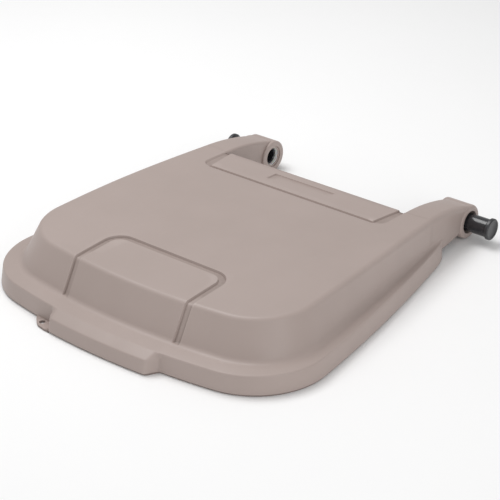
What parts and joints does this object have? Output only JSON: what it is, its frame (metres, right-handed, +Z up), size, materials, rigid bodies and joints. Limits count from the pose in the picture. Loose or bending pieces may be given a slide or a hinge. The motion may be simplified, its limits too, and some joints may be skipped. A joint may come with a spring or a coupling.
{
  "type": "wheeled bin lid with hinge pins",
  "caption": "Domed rectangular lid for a wheeled refuse bin, with front grip, rear hinge arms, turning bushes and headed hinge pins.",
  "frame": {"origin": "under the middle of the part's box, on the plane of the rim's lower edge", "axes": "+X across the lid to the right-hand hinge pin, +Y from the front grip to the hinge, +Z up"},
  "size_m": [0.4874, 0.557, 0.0737],
  "materials": {
    "shell": "fine satin moulded texture",
    "bush": "smooth natural nylon",
    "pin": "glossy shaft, satin head"
  },
  "bodies": {
    "lid": {"lid_shell": "shell"},
    "left_bush": {"left_hinge_bush": "bush"},
    "right_bush": {"right_hinge_bush": "bush"},
    "left_pin": {"left_hinge_pin": "pin"},
    "right_pin": {"right_hinge_pin": "pin"}
  },
  "joints": [
    {"name": "left_bush_turn", "type": "hinge", "parent": "lid", "child": "left_bush", "pos_m": [-0.162, 0.25495, 0.0238], "axis": [1, 0, 0], "continuous": true},
    {"name": "right_bush_turn", "type": "hinge", "parent": "lid", "child": "right_bush", "pos_m": [0.162, 0.25495, 0.0238], "axis": [1, 0, 0], "continuous": true},
    {"name": "left_pin_slide", "type": "slide", "parent": "left_bush", "child": "left_pin", "axis": [-1, 0, 0], "range_m": [-0.027, 0.022]},
    {"name": "right_pin_slide", "type": "slide", "parent": "right_bush", "child": "right_pin", "axis": [1, 0, 0], "range_m": [-0.027, 0.022]}
  ]
}
